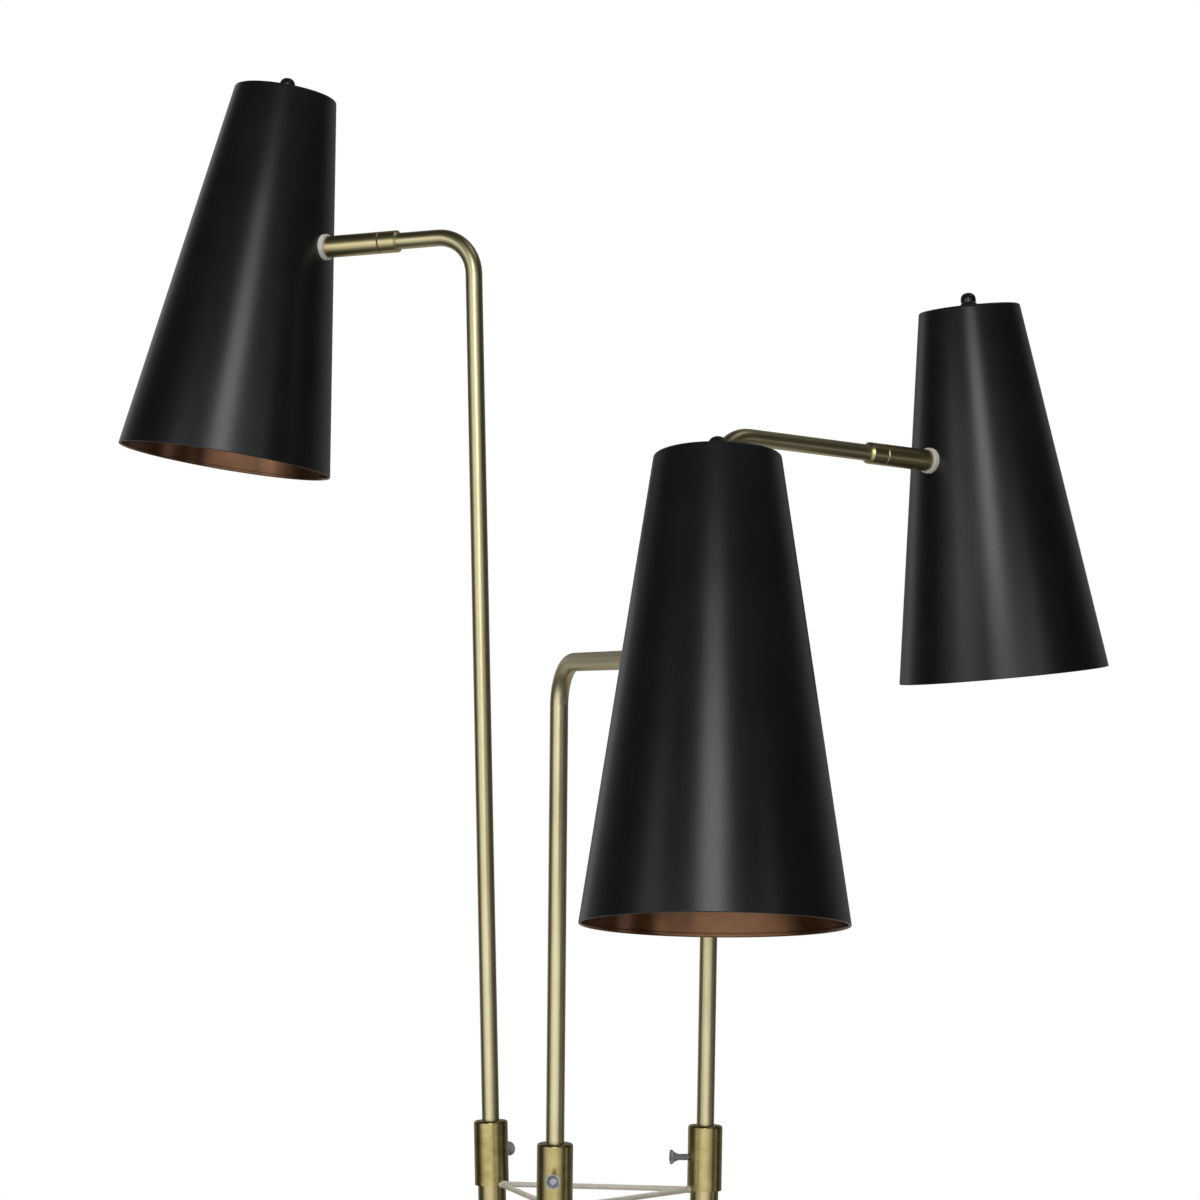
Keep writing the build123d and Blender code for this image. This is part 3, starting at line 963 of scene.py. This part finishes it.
@dataclass
class Bulb(LightPiece):
    """Blown pear-shaped glass: a globe that narrows on a straight flank to a neck, open in the cap."""

    name: str = "blown_bulb"
    body: str = "head"
    slot: str = "glass"
    node: str = "bulb_glass"
    contact_drop: float = 21.2 * MM
    length: float = 106.0 * MM
    neck_start: float = 21.5 * MM
    neck_length: float = 12.0 * MM
    neck_radius: float = 11.5 * MM
    neck_blend: float = 20.0 * MM
    globe_radius: float = 30.0 * MM
    wall: float = 1.0 * MM
    globe_steps: int = 24
    arc: int = 6

    def profile(self, drawn_in: float) -> list[Corner]:
        """One face of the glass, from the end of its neck to the pole of its globe.

        Args:
            drawn_in: how far the face lies inside the outer one.

        Returns:
            The face's corners in order.
        """
        neck_end = -self.contact_drop - self.neck_start
        waist = neck_end - self.neck_length
        middle = self.globe_radius - self.contact_drop - self.length
        neck, globe = self.neck_radius - drawn_in, self.globe_radius - drawn_in
        waist_rise = waist - middle
        to_waist = math.hypot(neck, waist_rise)
        flank_end = math.atan2(waist_rise, neck) - math.acos(globe / to_waist)
        corners = [Corner(neck, neck_end), Corner(neck, waist, self.neck_blend * math.tan(flank_end / 2))]
        for step in range(self.globe_steps + 1):
            angle = flank_end - (flank_end + math.pi / 2) * step / self.globe_steps
            corners.append(Corner(globe * math.cos(angle), middle + globe * math.sin(angle)))
        return corners

    def model(self) -> bpy.types.Object:
        """Turns both faces of the glass as one wall and dresses it.

        Returns:
            The glass in its own frame.
        """
        outline = self.profile(0.0) + self.profile(self.wall)[::-1]
        model = turn("bulb_model", outline, arc=self.arc)
        finish_model(model, (BULB_GLASS,))
        return model


@dataclass
class Spreader:
    """Wire triangle between the collars, with a solder bead where each corner meets its collar."""

    wire_radius: float = 2.0 * MM
    corner_radius: float = 6.0 * MM
    collar_radius: float = 12.5 * MM
    collar_length: float = 47.0 * MM
    lift: float = 1.0 * MM
    seat_play: float = 0.05 * MM
    bead_size: tuple[float, float, float] = (2.3 * MM, 5.2 * MM, 2.7 * MM)
    bead_segments: int = 32
    bead_rings: int = 16
    sides: int = 24
    arc_steps: int = 10
    sharp_degrees: float = 60.0

    def corners(self, places: Sequence[LightPlaces]) -> tuple[list[Vector], list[Vector]]:
        """Works out the triangle's sharp corners and the directions from its middle to the collars.

        Args:
            places: the lights' frames.

        Returns:
            The corners in order round the triangle, and the directions.
        """
        touching = self.collar_radius + self.seat_play + self.wire_radius
        posts = []
        for light in places:
            up = light.post.col[2].to_3d()
            posts.append(light.post.translation - up * (self.collar_length - self.lift) / up.z)
        middle = sum(posts, Vector()) / len(posts)
        outward = [(post - middle).normalized() for post in posts]
        reach = [(post - middle).length - touching + self.corner_radius for post in posts]
        return [middle + out * length for out, length in zip(outward, reach)], outward

    def wire(self, corners: Sequence[Vector]) -> bpy.types.Object:
        """Bends the wire round the triangle, run by run and corner by corner.

        Args:
            corners: the sharp corners, counter-clockwise from above.

        Returns:
            The closed wire.
        """
        count = len(corners)
        runs = [(corners[(i + 1) % count] - corners[i]).normalized() for i in range(count)]
        bends = [runs[i - 1].angle(runs[i]) for i in range(count)]
        setbacks = [self.corner_radius * math.tan(bend / 2) for bend in bends]
        clear_selection()
        bpy.ops.mesh.primitive_circle_add(vertices=self.sides, radius=self.wire_radius)
        piece = bpy.context.object
        piece.name = "soldered_spreader"
        piece.matrix_world = axes(corners[0] + runs[0] * setbacks[0], runs[0], UP)
        bpy.ops.object.transform_apply(location=True, rotation=True, scale=True)
        bpy.ops.object.mode_set(mode="EDIT")
        bpy.ops.mesh.select_all(action="SELECT")
        for i in range(count):
            after = (i + 1) % count
            straight = corners[after] - corners[i] - runs[i] * (setbacks[i] + setbacks[after])
            bpy.ops.mesh.extrude_region_move(TRANSFORM_OT_translate={"value": straight})
            inward = UP.cross(runs[i])
            pivot = corners[after] - runs[i] * setbacks[after] + inward * self.corner_radius
            # With no window, spin turns clockwise about its axis, so the axis points down
            bpy.ops.mesh.spin(steps=self.arc_steps, angle=bends[after], center=pivot, axis=-UP)
        bpy.ops.mesh.select_all(action="SELECT")
        bpy.ops.mesh.remove_doubles(threshold=NEAR)
        bpy.ops.mesh.normals_make_consistent(inside=False)
        bpy.ops.object.mode_set(mode="OBJECT")
        return piece

    def add_bead(self, wire: bpy.types.Object, place: Matrix) -> None:
        """Runs a bead of solder into the wire.

        Args:
            wire: the closed wire.
            place: middle of the bead, X towards the collar and Y along the wire.
        """
        clear_selection()
        bpy.ops.mesh.primitive_uv_sphere_add(
            segments=self.bead_segments, ring_count=self.bead_rings, radius=1.0
        )
        bead = bpy.context.object
        bead.matrix_world = place @ Matrix.Diagonal((*self.bead_size, 1.0))
        combine(wire, bead, Boolean.FUSE)

    def build(self, places: Sequence[LightPlaces]) -> None:
        """Bends the wire, solders it and hands it over.

        Args:
            places: the lights' frames.
        """
        corners, outward = self.corners(places)
        piece = self.wire(corners)
        for corner, out in zip(corners, outward):
            seat = corner + out * (self.wire_radius - self.corner_radius)
            self.add_bead(piece, axes(seat, UP, out))
        finish_model(piece, (TINNED_WIRE,), self.sharp_degrees)
        hand_over(piece, "stand", "wire", "spreader")


@dataclass
class CarriedNodes:
    """The lamp's nodes as they were imported, with better finishes."""

    finishes: dict[str, Finish]

    def dress(self, nodes: dict[str, bpy.types.Object]) -> None:
        """Gives each node its finish.

        Args:
            nodes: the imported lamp's nodes by name.
        """
        sides = tuple(f"_{side.value}" for side in Side)
        for name, node in nodes.items():
            kind = name.rsplit("_", 1)[0] if name.endswith(sides) else name
            for slot in node.material_slots:
                slot.material = self.finishes[kind].material()
        LOG.info("%d nodes dressed", len(nodes))


# Studio


@dataclass(frozen=True)
class SoftBox:
    """A large soft light that faces a point."""

    name: str
    place: tuple[float, float, float]
    width: float
    height: float
    watts: float
    shines_in_metal: bool = True

    def build(self, target: Vector) -> None:
        """Adds the light.

        Args:
            target: the point that it faces.
        """
        data = bpy.data.lights.new(self.name, "AREA")
        data.shape = "RECTANGLE"
        data.size = self.width
        data.size_y = self.height
        data.energy = self.watts
        light = bpy.data.objects.new(self.name, data)
        bpy.context.scene.collection.objects.link(light)
        light.location = self.place
        light.rotation_euler = (target - light.location).to_track_quat("-Z", "Y").to_euler()
        light.visible_camera = False
        light.visible_glossy = self.shines_in_metal


SOFT_BOXES = (
    SoftBox("main_box", place=(-0.15, -3.4, 2.3), width=1.15, height=1.4, watts=25.0),
    SoftBox("side_box", place=(-2.0, -1.6, 1.55), width=0.8, height=1.1, watts=1.9),
    SoftBox("right_box", place=(2.6, -0.6, 0.45), width=0.7, height=0.6, watts=0.8),
    SoftBox("front_right_box", place=(1.75, -1.95, 1.2), width=0.5, height=1.2, watts=1.2),
    SoftBox("high_right_box", place=(1.5, -0.3, 3.6), width=1.2, height=1.2, watts=3.0),
    SoftBox("back_left_box", place=(-1.6, 2.4, 1.6), width=1.0, height=2.6, watts=2.6),
    SoftBox("floor_fill", (0.0, 0.0, 3.8), width=6.0, height=6.0, watts=250.0, shines_in_metal=False),
)


@dataclass(frozen=True)
class Patch:
    """A round patch of the surroundings with a soft edge.

    starts and full are the cosines of the angles from its middle where it starts and where it is full.
    """

    towards: tuple[float, float, float]
    starts: float
    full: float

    def share(self, tree: bpy.types.NodeTree, direction: bpy.types.NodeSocket) -> bpy.types.NodeSocket:
        """Adds the patch.

        Args:
            tree: the surroundings' nodes.
            direction: where a ray goes.

        Returns:
            The patch, from 0 outside to 1 inside.
        """
        inputs = {0: direction, 1: self.towards}
        cosine = add_node(tree, "ShaderNodeVectorMath", inputs, operation="DOT_PRODUCT").outputs["Value"]
        soft = {"Value": cosine, "From Min": self.starts, "From Max": self.full}
        return add_node(tree, "ShaderNodeMapRange", soft, interpolation_type="SMOOTHSTEP").outputs[0]


@dataclass(frozen=True)
class Band:
    """A level band of the surroundings with soft edges.

    middle is the sine of its middle's angle above the level, and full and ends say how far from there it is
    full and where it ends, as differences of sines.
    """

    middle: float
    full: float
    ends: float

    def share(self, tree: bpy.types.NodeTree, direction: bpy.types.NodeSocket) -> bpy.types.NodeSocket:
        """Adds the band.

        Args:
            tree: the surroundings' nodes.
            direction: where a ray goes.

        Returns:
            The band, from 0 outside to 1 inside.
        """
        rise = add_node(tree, "ShaderNodeSeparateXYZ", {"Vector": direction}).outputs["Z"]
        off = add_node(tree, "ShaderNodeMath", {0: rise, 1: self.middle}, operation="SUBTRACT").outputs[0]
        slope = add_node(tree, "ShaderNodeMath", {0: off}, operation="ABSOLUTE").outputs[0]
        soft = {"Value": slope, "From Min": self.full, "From Max": self.ends, "To Min": 1.0, "To Max": 0.0}
        return add_node(tree, "ShaderNodeMapRange", soft, interpolation_type="SMOOTHSTEP").outputs[0]


@dataclass(frozen=True)
class Surround:
    """One tone of the surroundings, shown where all of its masks overlap."""

    colour: str
    masks: tuple[Patch | Band, ...]
    strength: float = 1.0

    def lay_over(
        self, tree: bpy.types.NodeTree, direction: bpy.types.NodeSocket, under: bpy.types.NodeSocket
    ) -> bpy.types.NodeSocket:
        """Lays the tone over what is there.

        Args:
            tree: the surroundings' nodes.
            direction: where a ray goes.
            under: the surroundings so far.

        Returns:
            The surroundings with the tone.
        """
        share: float | bpy.types.NodeSocket = 1.0
        for mask in self.masks:
            overlap = {0: mask.share(tree, direction), 1: share}
            share = add_node(tree, "ShaderNodeMath", overlap, operation="MULTIPLY").outputs[0]
        tone = {"Color": linear(self.colour), "Strength": self.strength}
        light = add_node(tree, "ShaderNodeBackground", tone).outputs["Background"]
        return add_node(tree, "ShaderNodeMixShader", {0: share, 1: under, 2: light}).outputs["Shader"]


BEHIND = (0.0, 1.0, 0.0)
STRAIGHT_DOWN = -1.0
DIM_GROUND = Surround("#5C5A55", (Band(STRAIGHT_DOWN, full=0.3, ends=0.55),))
FRONT_WALL = Surround(
    "#FDFEFC",
    (Patch((-0.259, -0.966, 0.0), starts=0.3, full=1.0), Band(-0.23, full=0.33, ends=0.54)),
    strength=1.33,
)
BACK_WALL = Surround("#7C7C7C", (Patch(BEHIND, starts=0.25, full=0.75),))
PALE_GROUND = Surround(
    "#A5A4A0", (Patch(BEHIND, starts=0.1, full=0.5), Band(STRAIGHT_DOWN, full=0.7, ends=0.88))
)


@dataclass
class Studio:
    """White backdrop, the dim room that the metal mirrors, soft lights, a pale floor and the camera.

    The room's tones are laid over its darkness in order. The focal length is in pixels of the photograph.
    """

    photo_side: float = 1200.0
    focal_pixels: float = 3179.0
    sensor_mm: float = 36.0
    camera_place: tuple[float, float, float] = (0.0117, -2.3058, 1.0438)
    camera_rise_degrees: float = 3.437
    floor_radius: float = 3.0
    floor_sides: int = 128
    lamp_middle: tuple[float, float, float] = (0.0, 0.0, 1.2)
    soft_boxes: tuple[SoftBox, ...] = SOFT_BOXES
    backdrop: str = "#FFFFFF"
    dark_room: str = "#26241F"
    room_tones: tuple[Surround, ...] = (DIM_GROUND, FRONT_WALL, BACK_WALL, PALE_GROUND)

    def build(self) -> None:
        """Builds the backdrop, the floor, the lights and the camera."""
        bpy.context.scene.view_settings.view_transform = "Standard"
        self.add_backdrop()
        self.add_floor()
        for box in self.soft_boxes:
            box.build(Vector(self.lamp_middle))
        self.add_camera()

    def add_backdrop(self) -> None:
        """Adds the surroundings: white where the camera looks past the lamp, and the room for the rest."""
        world = bpy.data.worlds.new("studio")
        bpy.context.scene.world = world
        world.use_nodes = True
        tree = world.node_tree
        tree.nodes.clear()
        direction = add_node(tree, "ShaderNodeTexCoord").outputs["Generated"]
        dark = add_node(tree, "ShaderNodeBackground", {"Color": linear(self.dark_room)})
        room = dark.outputs["Background"]
        for tone in self.room_tones:
            room = tone.lay_over(tree, direction, room)
        white = add_node(tree, "ShaderNodeBackground", {"Color": linear(self.backdrop)})
        seen = add_node(tree, "ShaderNodeLightPath").outputs["Is Camera Ray"]
        mixed = {0: seen, 1: room, 2: white.outputs["Background"]}
        surface = add_node(tree, "ShaderNodeMixShader", mixed).outputs["Shader"]
        add_node(tree, "ShaderNodeOutputWorld", {"Surface": surface})

    def add_floor(self) -> None:
        """Adds the round floor under the lamp."""
        clear_selection()
        bpy.ops.mesh.primitive_circle_add(
            vertices=self.floor_sides, radius=self.floor_radius, fill_type="NGON"
        )
        floor = bpy.context.object
        floor.name = "floor"
        floor.data.materials.append(FLOOR_PAINT.material())
        floor.visible_glossy = False

    def add_camera(self) -> None:
        """Adds the camera where the photograph was taken from, level across and tipped up a little."""
        data = bpy.data.cameras.new("camera")
        data.sensor_width = self.sensor_mm
        data.lens = self.sensor_mm * self.focal_pixels / self.photo_side
        camera = bpy.data.objects.new("camera", data)
        bpy.context.scene.collection.objects.link(camera)
        camera.location = self.camera_place
        camera.rotation_euler = (math.radians(90 + self.camera_rise_degrees), 0.0, 0.0)
        bpy.context.scene.camera = camera


def main() -> None:
    """Loads the lamp, dresses it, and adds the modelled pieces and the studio."""
    logging.basicConfig(level=logging.INFO, format="%(name)s: %(message)s")
    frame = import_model()
    Studio().build()
    CarriedNodes(CAD_FINISHES).dress(frame["nodes"])
    places = [LightPlaces.read(side, frame["joints"]) for side in Side]
    for assembly in (Shade(), Thumbscrew(), Lampholder(), Bulb(), Spreader()):
        assembly.build(places)


if __name__ == "__main__":
    main()
